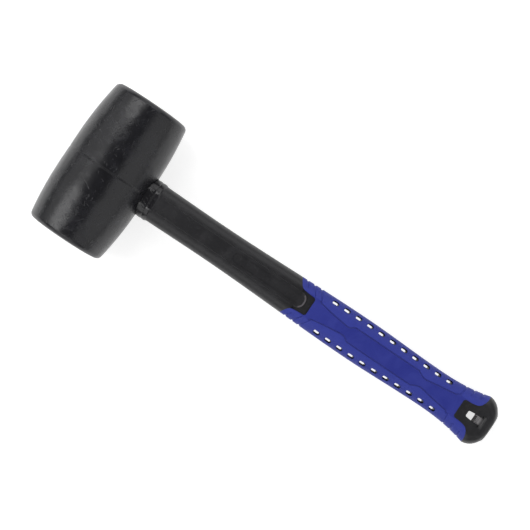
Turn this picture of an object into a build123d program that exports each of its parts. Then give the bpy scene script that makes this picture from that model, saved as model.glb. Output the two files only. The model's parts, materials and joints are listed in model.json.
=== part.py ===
from build123d import *
import os
from math import asin, atan2, cos, degrees, hypot, radians, sin, tan

# Rubber mallet.  All sizes are in millimetres.
# The mallet is drawn with the centre of its head at the origin, the handle along +X, the head's axis
# along Y and the broad sides of the handle facing +Z and -Z.  At the end every piece is turned and
# moved together, so that the mallet lies on its head and its butt as it does on a bench.

# The head: a solid rubber barrel with a flat, round-edged striking face at each end.
head_length = 112.0            # from face to face
head_radius = 32.3             # at the middle of the barrel
middle_length = 24.0           # the straight middle of the barrel, before it curves in to the rims
rim_inset = 3.7                # how much narrower the barrel is at its rounded rims
face_flat_radius = 20.0        # the flat middle of each striking face
face_drop = 1.0                # how far the face falls away between that flat and the rim
rim_round = 2.6                # rounding between face and barrel
parting_width = 0.8            # shallow mould line round the middle of the barrel
parting_depth = 0.3

# The blind socket in the head, and the spigot that is glued into it.
seat_depth = 2.0               # the collar's flat seat, below the widest line of the barrel
seat_clearance = 0.4           # round the collar, in its seat
blind_wall = 10.4              # rubber left behind the socket
glue_gap = 0.4                 # adhesive all round the spigot
glue_end_gap = 0.8             # adhesive beyond the spigot's tip
spigot_width = 24.0
spigot_wall = 2.05             # jacket over the rod on the spigot's broad sides
spigot_round = 6.0
spigot_taper = 1.4             # how much narrower and thinner the spigot is at its tip
key_groove_width = 3.0         # grooves round the spigot that the adhesive fills
key_groove_depth = 0.7
key_groove_count = 3

# The glass-fibre rod inside the handle.
rod_diameter = 12.7
rod_end_cover = 4.0            # jacket beyond the rod's end in the spigot
rod_to_hang_hole = 10.0        # jacket between the rod's other end and the hang hole

# The handle's outer form.
handle_length = 290.1          # from the collar's seat to the end of the butt
neck_width = 27.9              # beside the collar
shaft_width = 27.0             # at the shaft's waist
shaft_thickness = 20.0
grip_width = 31.4              # at the swell of the grip
waist_width = 28.6             # at the waist of the grip
butt_width = 37.9
side_flat = 3.8                # height of the flat left along each side of the handle
shaft_waist_from_seat = 57.0
swell_from_end = 112.0
waist_from_end = 49.5
flare_top_from_end = 10.9      # where the flare reaches the butt's full width
flare_power = 2.3              # how sharply the flare turns out: 2 would be a parabola
butt_corner_from_end = 6.2     # where the butt's side would meet its slanted corner
butt_shoulder_round = 12.0     # rounding of that corner
butt_end_width = 20.8          # flat across the end
butt_end_round = 2.0
butt_edge_round = 3.5          # rounding of the end in side view
butt_edge_margin = 0.15        # how far outside the broad sides that rounding starts

# The collar that the head is pushed up against: two bands with a groove between them, and a slope.
collar_width = 29.6
collar_thickness = 22.0
collar_side_flat = 0.8         # height of the flat left along each side of the collar
collar_band_length = 5.7
collar_groove_width = 1.1
collar_groove_depth = 0.3
collar_second_length = 2.2
collar_slope_length = 2.0
collar_slope_sink = 0.2        # how far inside the shaft's sides the slope ends

# Fine lines along the shaft, and the sunk panel that ends at the grip.
shaft_line_half_spacing = 5.3
shaft_line_width = 0.7
shaft_line_depth = 0.35
shaft_line_length = 62.0
panel_length = 57.5
panel_half_width = 3.45
panel_depth = 0.5
panel_to_tab_end = 6.9         # from the panel's round end to the end of the black tab
rail_width = 1.9               # raised rail beside the panel, with a line outside it
rail_line_overlap = 2.0        # how far those lines run in past the tips of the grip's ears

# The tab between the grip's ears: the strip between the lines ends in a tongue in a shallow pocket.
tongue_to_tab_end = 5.1
tongue_half_width = 5.7
tongue_round = 5.0
pocket_length = 11.0
pocket_depth = 1.6

# The soft grip, moulded over the jacket.
grip_length = 166.4            # from the tips of its ears to the end of the butt
grip_cover = 2.3               # over the broad sides
grip_side_cover = 1.6          # over the narrow sides
jacket_wall = 1.8              # between rod and grip
ear_length = 15.7              # from the ears' tips to the end of the black tab between them
tab_half_width = 7.1
rear_tab_half_width = 7.3
rear_tab_from_end = 27.0
ear_curve = ((2.4, 2.9), (4.3, 1.2), (8.0, 0.4))    # along from the ears' tips, and out from the tab
fork_curve = ((8.0, 0.6), (11.4, 1.8), (13.8, 5.3))  # along from the rear tab's end, and out from it
fork_length = 15.8             # from the rear tab's end to where the fork reaches the butt's sides
boundary_round = 1.4
plan_margin = 2.0              # how far the grip's plan runs out past the butt's sides

# The two rows of slots through the handle, which are narrower in the jacket than in the grip.
slot_count = 11
slot_length = 5.2              # in the grip
slot_width = 2.6
slot_edge_margin = 3.25        # from a slot's centre line to the side of the grip
inner_slot_length = 4.7        # in the jacket
inner_slot_width = 1.5
inner_slot_margin = 3.6
first_slot_from_ears = 28.8
last_slot_from_end = 41.8

# Lines in the grip: a waisted outline on each broad side, and rings across the ears and the flare.
outline_half_width = 5.9
outline_pinch_half_width = 3.2
outline_mouth_half_width = 6.7
outline_start_from_tab = 4.5   # from the tab to the mouth's end
outline_end_from_end = 33.5
front_pinch_from_ears = 46.0
rear_pinch_from_end = 58.0
outline_shoulder = 3.6         # length over which the outline widens again past the front pinch
rear_shoulder = 6.0
pinch_flat_length = 2.0        # of the front pinch, which widens a little along it
pinch_flat_rise = 0.2
outline_line_width = 0.9
outline_line_depth = 0.45
ring_width = 1.4
ring_depth = 0.7
front_ring_lean = 35.0         # degrees, inwards and towards the middle of the grip
rear_ring_lean = 14.0
front_rings = ((4.4, 10.5), (10.3, 8.6), (15.9, 7.6))   # from the ears' tips, and inner half width
rear_rings = ((29.1, 7.6), (23.1, 11.5), (16.4, 13.5))  # from the end of the butt, likewise

# The hang hole: a throat that narrows inwards, with a floor that slopes up to both broad sides.
hang_from_end = 20.0           # from its inner end to the end of the butt
hang_width = 5.8
hang_inner_width = 4.6
hang_inner_round = 1.2
hang_throat_length = 6.5
hang_slope_length = 7.5
dish_width = 9.2               # a wider, shallow dish where each slope meets its broad side
dish_length = 3.4
dish_depth = 1.6
cutter_overlap = 0.5           # how far a cutter runs into the one beside it

reach = 60.0                   # tools that cut right through are this much longer than they need to be
form_step = 14.0               # spacing of the sections that the handle's form is drawn through
form_beyond = 4.0              # how far that form runs on before its end is trimmed

grip_thickness = rod_diameter + 2 * jacket_wall + 2 * grip_cover
spigot_thickness = rod_diameter + 2 * spigot_wall
rim_radius = head_radius - rim_inset
seat_x = head_radius - seat_depth
butt_x = seat_x + handle_length
ear_x = butt_x - grip_length
tab_x = ear_x + ear_length
panel_end_x = tab_x - panel_to_tab_end
hang_x = butt_x - hang_from_end
spigot_tip_x = -head_radius + blind_wall + glue_end_gap


def across(x, width, thickness, corner):
    """A rounded rectangle square to the handle at x."""
    plane = Plane(origin=(x, 0, 0), x_dir=(0, 1, 0), z_dir=(1, 0, 0))
    return plane * RectangleRounded(width, thickness, corner)


def ease(start, end, part):
    """A smooth run from start to end, level at both."""
    return start + (end - start) * part * part * (3 - 2 * part)


def handle_width(x):
    """The handle's width at x: a waist in the shaft, the grip's swell, its waist and the flare."""
    shaft_waist = seat_x + shaft_waist_from_seat
    swell = butt_x - swell_from_end
    waist = butt_x - waist_from_end
    if x < shaft_waist:
        return ease(neck_width, shaft_width, (x - seat_x) / (shaft_waist - seat_x))
    if x < swell:
        return ease(shaft_width, grip_width, (x - shaft_waist) / (swell - shaft_waist))
    if x < waist:
        return ease(grip_width, waist_width, (x - swell) / (waist - swell))
    part = (x - waist) / (waist_from_end - flare_top_from_end)
    return waist_width + (butt_width - waist_width) * part ** flare_power


def handle_thickness(x):
    """The handle's thickness at x, which grows where the grip covers the jacket."""
    shaft_waist = seat_x + shaft_waist_from_seat
    swell = butt_x - swell_from_end
    part = min(max((x - shaft_waist) / (swell - shaft_waist), 0), 1)
    return ease(shaft_thickness, grip_thickness, part)


def handle_form(side_inset=0.0, face_inset=0.0):
    """The handle's outer form, or the same form set in from its narrow and broad sides."""
    length = handle_length + form_beyond
    steps = round(length / form_step)
    sections = []
    for number in range(steps + 1):
        x = seat_x + length * number / steps
        thickness = handle_thickness(x)
        corner = (thickness - side_flat) / 2 - face_inset
        width = handle_width(x) - 2 * side_inset
        sections.append(across(x, width, thickness - 2 * face_inset, corner))
    return loft(sections) & butt_trim(side_inset, face_inset)


def butt_trim(side_inset, face_inset):
    """What is left after the butt's corners are slanted in plan and its end is rounded in side view."""
    half = butt_width / 2 - side_inset
    end_half = butt_end_width / 2 - side_inset / 2
    end = butt_x - side_inset
    far = -reach
    plan = make_face(Polyline(
        (far, half), (end - butt_corner_from_end, half), (end, end_half),
        (end, -end_half), (end - butt_corner_from_end, -half), (far, -half), close=True))
    plan = fillet(plan.vertices().filter_by_position(Axis.X, end - butt_corner_from_end - 1,
                                                     end - butt_corner_from_end + 1), butt_shoulder_round)
    plan = fillet(plan.vertices().filter_by_position(Axis.X, end - 0.1, end + 0.1), butt_end_round)
    thick = grip_thickness / 2 + butt_edge_margin - face_inset
    side = make_face(Polyline((far, thick), (end, thick), (end, -thick), (far, -thick), close=True))
    side = fillet(side.vertices().filter_by_position(Axis.X, end - 0.1, end + 0.1), butt_edge_round)
    side_plane = Plane(origin=(0, 0, 0), x_dir=(1, 0, 0), z_dir=(0, -1, 0))
    return extrude(plan, reach, both=True) & extrude(side_plane * side, reach, both=True)


def rod_hole():
    """The rod's room in the jacket, which the rod fills."""
    start = spigot_tip_x + rod_end_cover
    end = hang_x - rod_to_hang_hole
    plane = Plane(origin=(start, 0, 0), x_dir=(0, 1, 0), z_dir=(1, 0, 0))
    return extrude(plane * Circle(rod_diameter / 2), end - start)


def spigot_loft(grow, tip_x):
    """The tapered spigot, or with grow the socket round it."""
    tip_width = spigot_width - spigot_taper
    tip_thickness = spigot_thickness - spigot_taper
    root = across(seat_x, spigot_width + 2 * grow, spigot_thickness + 2 * grow, spigot_round + grow)
    tip = across(tip_x, tip_width + 2 * grow, tip_thickness + 2 * grow, spigot_round + grow)
    return loft([tip, root])


def spigot():
    body = spigot_loft(0, spigot_tip_x)
    core = spigot_loft(-key_groove_depth, spigot_tip_x)
    pitch = (seat_x - spigot_tip_x) / (key_groove_count + 1)
    for number in range(1, key_groove_count + 1):
        x = spigot_tip_x + number * pitch
        slab = Pos(x, 0, 0) * Box(key_groove_width, reach, reach)
        body -= (slab & body) - core
    return body


def collar():
    """Two bands with a groove between them, and a slope down to the shaft."""
    length = collar_band_length + collar_groove_width + collar_second_length
    corner = (collar_thickness - collar_side_flat) / 2
    bands = extrude(across(seat_x, collar_width, collar_thickness, corner), length)
    inset = 2 * collar_groove_depth
    groove_x = seat_x + collar_band_length
    core = across(groove_x, collar_width - inset, collar_thickness - inset, corner - collar_groove_depth)
    slab = Pos(groove_x + collar_groove_width / 2, 0, 0) * Box(collar_groove_width, reach, reach)
    bands -= slab - extrude(core, collar_groove_width)
    x = seat_x + length
    end_width = neck_width - 2 * collar_slope_sink
    end_thickness = shaft_thickness - 2 * collar_slope_sink
    end = across(x + collar_slope_length, end_width, end_thickness, (end_thickness - side_flat) / 2)
    return bands + loft([across(x, collar_width, collar_thickness, corner), end])


def grip_plan():
    """The grip's reach seen from above: ears round the front tab, and a fork round the rear one."""
    half = butt_width / 2 + plan_margin
    tip_y = handle_width(ear_x) / 2
    front = [(ear_x + along, tab_half_width + out) for along, out in ear_curve]
    lead = (front[0][0] - ear_x) / (tip_y - front[0][1]) * (half - tip_y)
    front = [(ear_x - lead, half)] + front + [(tab_x, tab_half_width)]
    rear_x = butt_x - rear_tab_from_end
    rear = [(rear_x + along, rear_tab_half_width + out) for along, out in fork_curve]
    rear = [(rear_x, rear_tab_half_width)] + rear + [(rear_x + fork_length, half)]
    points = front + [(x, -y) for x, y in reversed(front)] + [(x, -y) for x, y in reversed(rear)] + rear
    plan = make_face(Polyline(*points, close=True))
    tab_corners = plan.vertices().filter_by_position(Axis.X, tab_x - 0.1, tab_x + 0.1)
    plan = fillet(tab_corners, boundary_round)
    fork_corners = plan.vertices().filter_by_position(Axis.X, rear_x - 0.1, rear_x + 0.1)
    return fillet(fork_corners, boundary_round)


def slot_cutters(length, width, margin):
    """Both rows of slots of the given size, each following the side of the grip."""
    first = ear_x + first_slot_from_ears
    pitch = (butt_x - last_slot_from_end - first) / (slot_count - 1)
    cutters = []
    for number in range(slot_count):
        x = first + number * pitch
        edge = handle_width(x) / 2
        lean = degrees(atan2(handle_width(x + 1) - handle_width(x - 1), 4))
        for side in (1, -1):
            place = Pos(x, side * (edge - margin), 0) * Rot(0, 0, side * lean)
            cutters.append(extrude(place * SlotOverall(length, width), reach, both=True))
    return cutters


def side_wedge(points, width):
    """A cutter with the given outline in side view, as wide as is given across the handle."""
    plane = Plane(origin=(0, 0, 0), x_dir=(1, 0, 0), z_dir=(0, -1, 0))
    return extrude(plane * make_face(Polyline(*points, close=True)), width / 2, both=True)


def hang_hole():
    """A throat right through the butt, with a sloping floor and a shallow dish on both broad sides."""
    throat_end = hang_x + hang_throat_length
    slope_end = throat_end + hang_slope_length
    inner = hang_inner_width / 2
    outer = hang_width / 2
    throat = make_face(Polyline(
        (hang_x, inner), (throat_end, outer), (throat_end, -outer), (hang_x, -inner), close=True))
    throat = fillet(throat.vertices().sort_by(Axis.X)[:2], hang_inner_round)
    cutter = extrude(throat, reach, both=True)
    height = grip_thickness / 2
    inside = throat_end - cutter_overlap
    dish_x = slope_end - dish_length
    for side in (1, -1):
        cutter += side_wedge([
            (inside, 0), (throat_end, 0), (throat_end + 2 * hang_slope_length, 2 * side * height),
            (inside, 2 * side * height)], hang_width)
        cutter += side_wedge([
            (dish_x, side * (height - dish_depth)), (slope_end, side * height),
            (slope_end, 2 * side * height), (dish_x, 2 * side * height)], dish_width)
    return cutter


def band(points, width):
    """A strip of the given width along a run of points, on the plan."""
    strip = None
    for start, end in zip(points, points[1:]):
        length = hypot(end[0] - start[0], end[1] - start[1])
        turn = degrees(atan2(end[1] - start[1], end[0] - start[0]))
        middle = Pos((start[0] + end[0]) / 2, (start[1] + end[1]) / 2)
        piece = middle * Rot(0, 0, turn) * SlotOverall(length + width, width)
        strip = piece if strip is None else strip + piece
    return strip


def shaft_lines():
    """Plan of the lines along the shaft, on both sides of its middle."""
    collar_length = collar_band_length + collar_groove_width + collar_second_length + collar_slope_length
    line_start = seat_x + collar_length
    panel_start = panel_end_x - panel_length
    outer = panel_half_width + rail_width + shaft_line_width / 2
    lines = Sketch()
    for side in (1, -1):
        y = side * shaft_line_half_spacing
        lines += band([(line_start, y), (line_start + shaft_line_length, y)], shaft_line_width)
        y = side * outer
        lines += band([(panel_start, y), (ear_x + rail_line_overlap, y)], shaft_line_width)
    return lines


def panel_plan():
    middle = panel_end_x - panel_length / 2
    return Pos(middle, 0) * SlotOverall(panel_length, 2 * panel_half_width)


def pocket_plan():
    """The pocket round the tongue, which reaches out as far as the grip's ears on both sides."""
    pocket = Pos(tab_x - pocket_length / 2, 0) * Rectangle(pocket_length, butt_width)
    tongue_length = 2 * pocket_length
    tongue_x = tab_x - tongue_to_tab_end - tongue_length / 2
    return pocket - Pos(tongue_x, 0) * RectangleRounded(tongue_length, 2 * tongue_half_width, tongue_round)


def outline_plan():
    """Plan of the waisted outline on the grip: a mouth, a pinch, a long panel, a pinch and a mouth."""
    wide = outline_half_width
    pinch = outline_pinch_half_width
    mouth = outline_mouth_half_width
    front_pinch_x = ear_x + front_pinch_from_ears
    rear_pinch_x = butt_x - rear_pinch_from_end
    line = [(tab_x + outline_start_from_tab, mouth), (front_pinch_x - pinch_flat_length, pinch),
            (front_pinch_x, pinch + pinch_flat_rise),
            (front_pinch_x + outline_shoulder, wide), (rear_pinch_x - rear_shoulder, wide),
            (rear_pinch_x, pinch), (butt_x - outline_end_from_end, mouth)]
    plan = Sketch()
    for side in (1, -1):
        plan += band([(x, side * y) for x, y in line], outline_line_width)
    return plan


def ring_cutters(skin):
    """Leaning rings across the ears and the flare, cut to the depth of the given skin."""
    front_slope = tan(radians(front_ring_lean))
    rear_slope = -tan(radians(rear_ring_lean))
    rings = [(ear_x + from_ears, inner, front_slope) for from_ears, inner in front_rings]
    rings += [(butt_x - from_end, inner, rear_slope) for from_end, inner in rear_rings]
    cutters = []
    for edge_x, inner, slope in rings:
        edge_y = handle_width(edge_x) / 2
        inward = edge_y - inner
        for side in (1, -1):
            path = [(edge_x - slope * inward, side * (edge_y + inward)),
                    (edge_x + slope * inward, side * inner)]
            cutters.append(extrude(band(path, ring_width), reach, both=True) & skin)
    return cutters


def make_head():
    """The barrel, turned about the head's own axis, with the collar's seat and the socket."""
    half = head_length / 2
    rim_y = half - face_drop
    outline = Polyline((face_flat_radius, half), (0, half), (0, -half), (face_flat_radius, -half))
    outline += TangentArc((face_flat_radius, half), (rim_radius, rim_y), tangent=(1, 0))
    middle = middle_length / 2
    outline += Line((head_radius, middle), (head_radius, -middle))
    for side in (1, -1):
        outline += TangentArc((head_radius, side * middle), (rim_radius, side * rim_y), tangent=(0, side))
    outline += TangentArc((face_flat_radius, -half), (rim_radius, -rim_y), tangent=(1, 0))
    profile = make_face(outline)
    rims = profile.vertices().filter_by_position(Axis.X, rim_radius - 0.01, rim_radius + 0.01)
    profile = fillet(rims, rim_round)
    head = revolve(profile, Axis.Y)
    ring = Pos(head_radius, 0) * Rectangle(2 * parting_depth, parting_width)
    head -= revolve(ring, Axis.Y)
    room = 2 * seat_clearance
    corner = (collar_thickness - collar_side_flat) / 2 + seat_clearance
    head -= extrude(across(seat_x, collar_width + room, collar_thickness + room, corner), reach)
    return head - spigot_loft(glue_gap, spigot_tip_x - glue_end_gap)


def make_handle():
    """The jacket and the grip, which share the handle's outer form and meet face to face."""
    outer = handle_form()
    inner = handle_form(grip_side_cover, grip_cover)
    reach_of_grip = extrude(grip_plan(), reach, both=True)
    jacket = (outer - reach_of_grip) + (inner & reach_of_grip)
    grip = (outer & reach_of_grip) - inner
    for cutter in slot_cutters(inner_slot_length, inner_slot_width, inner_slot_margin):
        jacket -= cutter
    for cutter in slot_cutters(slot_length, slot_width, slot_edge_margin):
        grip -= cutter
    skin = outer - handle_form(shaft_line_depth, shaft_line_depth)
    jacket -= extrude(shaft_lines(), reach, both=True) & skin
    skin = outer - handle_form(panel_depth, panel_depth)
    jacket -= extrude(panel_plan(), reach, both=True) & skin
    skin = outer - handle_form(pocket_depth, pocket_depth)
    jacket -= extrude(pocket_plan(), reach, both=True) & skin
    skin = outer - handle_form(outline_line_depth, outline_line_depth)
    grip -= extrude(outline_plan(), reach, both=True) & skin
    skin = outer - handle_form(ring_depth, ring_depth)
    for cutter in ring_cutters(skin):
        grip -= cutter
    jacket += collar() + spigot()
    jacket -= hang_hole()
    jacket -= rod_hole()
    return jacket, grip


def resting_place():
    """The turn about Y and the move that lay the mallet on z = 0, on its head and its butt.

    The head is a circle about the origin here.  The butt rests where its rounded end runs into its
    broad side.  The move also puts the middle of the whole length at x = 0.
    """
    rise = butt_edge_round - butt_edge_margin
    contact_x = butt_x - butt_edge_round + (butt_edge_round ** 2 - rise ** 2) ** 0.5
    contact_z = grip_thickness / 2
    tilt = asin(head_radius / hypot(contact_x, contact_z)) - atan2(contact_z, contact_x)
    end_x = (butt_x - butt_edge_round) * cos(tilt) + (contact_z - rise) * sin(tilt) + butt_edge_round
    return Pos((head_radius - end_x) / 2, 0, head_radius) * Rot(0, degrees(tilt), 0)


jacket, grip = make_handle()
socket = spigot_loft(glue_gap, spigot_tip_x - glue_end_gap)
nodes = {
    "rubber_head": make_head(),
    "socket_adhesive": socket - spigot(),
    "fibreglass_core": rod_hole(),
    "handle_jacket": jacket,
    "grip_sleeve": grip,
}
place = resting_place()

os.makedirs("parts", exist_ok=True)
for name, piece in nodes.items():
    laid = place * piece
    export_step(laid, f"parts/{name}.step")
    print(name, "solids", len(laid.solids()), "volume", round(laid.volume), "valid", laid.is_valid)

# Where the head, its face and the hang hole lie once the mallet is at rest.
print("turn about Y", round(place.orientation.Y, 4))
print("head centre", place * Pos(0, 0, 0))
print("striking face", place * Pos(0, head_length / 2, 0))
print("hang hole", place * Pos(hang_x + hang_throat_length / 2, 0, 0))
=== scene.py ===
import json
import math

import bmesh
import bpy
from mathutils import Matrix, Vector


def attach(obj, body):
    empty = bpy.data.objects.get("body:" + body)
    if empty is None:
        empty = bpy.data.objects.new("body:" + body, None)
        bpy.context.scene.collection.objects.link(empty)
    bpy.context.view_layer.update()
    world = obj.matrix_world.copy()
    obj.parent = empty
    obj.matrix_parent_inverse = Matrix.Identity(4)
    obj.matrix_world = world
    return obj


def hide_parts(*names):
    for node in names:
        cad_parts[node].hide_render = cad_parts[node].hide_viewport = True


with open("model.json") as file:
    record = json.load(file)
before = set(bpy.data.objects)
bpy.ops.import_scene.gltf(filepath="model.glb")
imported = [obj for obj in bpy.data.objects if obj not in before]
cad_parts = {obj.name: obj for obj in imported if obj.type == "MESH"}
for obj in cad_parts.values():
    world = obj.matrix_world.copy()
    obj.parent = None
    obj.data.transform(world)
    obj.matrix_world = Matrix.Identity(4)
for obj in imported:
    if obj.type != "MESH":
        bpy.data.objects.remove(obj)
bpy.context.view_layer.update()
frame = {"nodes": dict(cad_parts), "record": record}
print("frame loaded")

mm = 0.001
near = 0.01 * mm        # two places closer than this are the same place
toolRise = 5 * mm       # how far the flat cutting tools stand out of the surface they cut
endRound = 0.98         # how much of their half width the round ends of slots and panels take up
curveSteps = 6          # between two places of a drawn outline, where it is smooth
cordSteps = 3           # round a quarter of a round-sectioned tool
squareOn = 0.9          # a face whose normal goes this far along X is an end face
white = (1, 1, 1, 1)

# The mallet is modelled straight: head centre at the origin, handle along X, head along Y.
# layDown then turns and moves each finished piece to where the frame lies on its head and butt.
mounts = {mount["name"]: mount for mount in frame["record"]["mounts"]}
faceLeft = Vector(mounts["striking_face_a"]["pos_m"])
faceRight = Vector(mounts["striking_face_b"]["pos_m"])
headCentre = (faceLeft + faceRight) / 2
broadSide = Vector(mounts["hang_hole"]["axis"])
lean = math.atan2(broadSide.x, broadSide.z)
layDown = Matrix.Translation(headCentre) @ Matrix.Rotation(lean, 4, "Y")


def straightBox(node):  # lowest and highest corner of a CAD node, with the mallet straightened out
    straighten = layDown.inverted()
    points = [straighten @ vertex.co for vertex in frame["nodes"][node].data.vertices]
    low = Vector([min(point[axis] for point in points) for axis in range(3)])
    high = Vector([max(point[axis] for point in points) for axis in range(3)])
    return low, high


headHigh = straightBox("rubber_head")[1]
jacketLow, jacketHigh = straightBox("handle_jacket")
gripLow = straightBox("grip_sleeve")[0]
rodLow, rodHigh = straightBox("fibreglass_core")
gapLow, gapHigh = straightBox("socket_adhesive")
seatX = gapHigh.x       # where the handle's collar meets the head
buttX = jacketHigh.x    # the end of the handle
earX = gripLow.x        # the tips of the grip's ears


# Small helpers for modelling by hand.

def newObject(name, data):
    piece = bpy.data.objects.new(name, data)
    bpy.context.scene.collection.objects.link(piece)
    return piece


def chooseOnly(piece):
    bpy.ops.object.select_all(action="DESELECT")
    piece.select_set(True)
    bpy.context.view_layer.objects.active = piece


def openMesh(piece, selection="DESELECT"):  # edit mode, with nothing selected or, with SELECT, everything
    chooseOnly(piece)
    bpy.ops.object.mode_set(mode="EDIT")
    bpy.ops.mesh.select_all(action=selection)


def closeMesh():
    bpy.ops.object.mode_set(mode="OBJECT")


def choose(kind, test):  # select the vertices, edges or faces that pass a test on their place
    bpy.ops.mesh.select_mode(type=kind)
    bpy.ops.mesh.select_all(action="DESELECT")
    mesh = bpy.context.edit_object.data
    shape = bmesh.from_edit_mesh(mesh)
    parts = {"VERT": shape.verts, "EDGE": shape.edges, "FACE": shape.faces}[kind]
    for part in parts:
        if test(part):
            part.select_set(True)
    shape.select_flush_mode()
    bmesh.update_edit_mesh(mesh)


def extrude(x, y, z):
    bpy.ops.mesh.extrude_region_move(TRANSFORM_OT_translate={"value": (x, y, z)})


def resize(ratios, middle):
    bpy.ops.transform.resize(value=ratios, center_override=middle)


def roundCorners(width, steps):
    bpy.ops.mesh.bevel(offset=width, segments=steps, affect="VERTICES")


def applyPlace(piece):
    chooseOnly(piece)
    bpy.ops.object.transform_apply(location=True, rotation=True, scale=True)


def finishStep(piece, name, kind, **settings):  # add a modifier and apply it at once
    chooseOnly(piece)
    step = piece.modifiers.new(name, kind)
    for setting, value in settings.items():
        setattr(step, setting, value)
    bpy.ops.object.modifier_apply(modifier=step.name)


def combine(piece, tool, operation="DIFFERENCE", keepTool=False):
    finishStep(piece, "combine", "BOOLEAN", operation=operation, object=tool, solver="EXACT")
    if not keepTool:
        bpy.data.objects.remove(tool)


def copyOf(piece, name):
    return newObject(name, piece.data.copy())


def joined(pieces, name):  # several tools made one, so that they cut in one go
    chooseOnly(pieces[0])
    for piece in pieces:
        piece.select_set(True)
    bpy.ops.object.join()
    pieces[0].name = name
    return pieces[0]


def tidyMesh(piece):  # merge doubles, then turn every face outwards
    openMesh(piece, "SELECT")
    bpy.ops.mesh.remove_doubles(threshold=near)
    bpy.ops.mesh.normals_make_consistent(inside=False)
    closeMesh()


def finished(piece):  # leave edit mode with a clean mesh
    closeMesh()
    tidyMesh(piece)
    return piece


def otherHalf(piece, *axes):  # mirror a half about the mallet's middle, across X, Y or Z
    finishStep(piece, "other half", "MIRROR", use_axis=axes, merge_threshold=near)
    tidyMesh(piece)


def flatPlate(name, x, y, length, width):  # a level rectangle, the start of several tools
    bpy.ops.mesh.primitive_plane_add(size=1, location=(x, y, 0))
    plate = bpy.context.object
    plate.name = name
    plate.scale = (length, width, 1)
    applyPlace(plate)
    return plate


def softenEdges(piece, width, angle):  # a small round on every sharp edge, and clean shading
    finishStep(piece, "soft edges", "BEVEL", width=width, segments=2, limit_method="ANGLE",
               angle_limit=math.radians(angle), use_clamp_overlap=True, miter_outer="MITER_ARC")
    bpy.ops.object.shade_smooth()
    finishStep(piece, "clean shading", "WEIGHTED_NORMAL", mode="FACE_AREA", keep_sharp=True)


def mirrored(piece, name):  # a copy on the mallet's other broad side
    twin = copyOf(piece, name)
    twin.scale.z = -1
    applyPlace(twin)
    tidyMesh(twin)
    return twin


def onBothSides(tool):  # the tool for the upper broad side, with its mirror image on the lower one
    return joined([tool, mirrored(tool, tool.name)], tool.name)


def ease(start, end, part):  # a smooth run from start to end, level at both
    return start + (end - start) * part * part * (3 - 2 * part)


# The form that the jacket and the grip share.
handle = {
    "neckWidth": 27.9 * mm,
    "shaftWidth": 27.0 * mm,        # at the shaft's waist
    "shaftThickness": 20.0 * mm,
    "gripWidth": 31.4 * mm,         # at the swell of the grip
    "gripThickness": 20.9 * mm,
    "waistWidth": 28.6 * mm,
    "buttWidth": jacketHigh.y - jacketLow.y,
    "cornerRound": 8.3 * mm,        # of the rounded section
    "shaftWaistFromSeat": 57.0 * mm,
    "swellFromEnd": 112.0 * mm,
    "waistFromEnd": 49.5 * mm,
    "flareTopFromEnd": 10.9 * mm,
    "flarePower": 2.3,
    "shoulderRound": 12.0 * mm,     # where the butt's sides turn in to its slanted corners
    "cornerFromEnd": 6.2 * mm,
    "endWidth": 20.8 * mm,
    "edgeRound": 3.5 * mm,          # of the butt's end, seen from the side
    "sideCover": 1.6 * mm,          # how thick the grip lies over the jacket's narrow sides
    "broadCover": 2.3 * mm,         # and over its broad sides
    "stationStep": 4.0 * mm,
    "buttStep": 1.2 * mm,           # closer stations where the butt's outline turns
    "buttStepFromEnd": 18.0 * mm,
    "cornerSteps": 9,
    "edgeSteps": 6,
    "innerFromEars": 6.0 * mm,      # the form inside the grip starts this far before the ears
    "innerFromEnd": 6.0 * mm,
    "softRound": 0.22 * mm,         # on the sharp edges of the jacket and the grip
    "sharpAngle": 38,               # in degrees: edges that turn more than this are sharp
}
shaftWaistX = seatX + handle["shaftWaistFromSeat"]
swellX = buttX - handle["swellFromEnd"]
waistX = buttX - handle["waistFromEnd"]


def slantedCorner(x):  # half width at x where the butt's slanted corners trim it
    half = handle["buttWidth"] / 2
    cornerX = buttX - handle["cornerFromEnd"]
    slant = math.atan2(half - handle["endWidth"] / 2, handle["cornerFromEnd"])
    roundOff = handle["shoulderRound"]
    startX = cornerX - roundOff * math.tan(slant / 2)
    arcEndX = startX + roundOff * math.sin(slant)
    if x <= startX:
        return half
    if x <= arcEndX:
        return half - roundOff + math.sqrt(roundOff ** 2 - (x - startX) ** 2)
    return half - (x - cornerX) * math.tan(slant)


def handleWidth(x):
    if x < shaftWaistX:
        part = max(x - seatX, 0) / handle["shaftWaistFromSeat"]
        return ease(handle["neckWidth"], handle["shaftWidth"], part)
    if x < swellX:
        return ease(handle["shaftWidth"], handle["gripWidth"], (x - shaftWaistX) / (swellX - shaftWaistX))
    if x < waistX:
        return ease(handle["gripWidth"], handle["waistWidth"], (x - swellX) / (waistX - swellX))
    part = (x - waistX) / (handle["waistFromEnd"] - handle["flareTopFromEnd"])
    widening = (handle["buttWidth"] - handle["waistWidth"]) * part ** handle["flarePower"]
    return min(handle["waistWidth"] + widening, 2 * slantedCorner(x))


def handleThickness(x):
    part = min(max((x - shaftWaistX) / (swellX - shaftWaistX), 0), 1)
    thickness = ease(handle["shaftThickness"], handle["gripThickness"], part)
    past = x - (buttX - handle["edgeRound"])
    if past <= 0:
        return thickness
    return thickness - 2 * (handle["edgeRound"] - math.sqrt(max(handle["edgeRound"] ** 2 - past ** 2, 0)))


def surfaceZ(x, y):  # height of the handle's broad side above its middle
    roundOff = handle["cornerRound"]
    past = abs(y) - (handleWidth(x) / 2 - roundOff)
    height = handleThickness(x) / 2
    if past <= 0:
        return height
    return height - roundOff + math.sqrt(max(roundOff ** 2 - past ** 2, 0))


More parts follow.
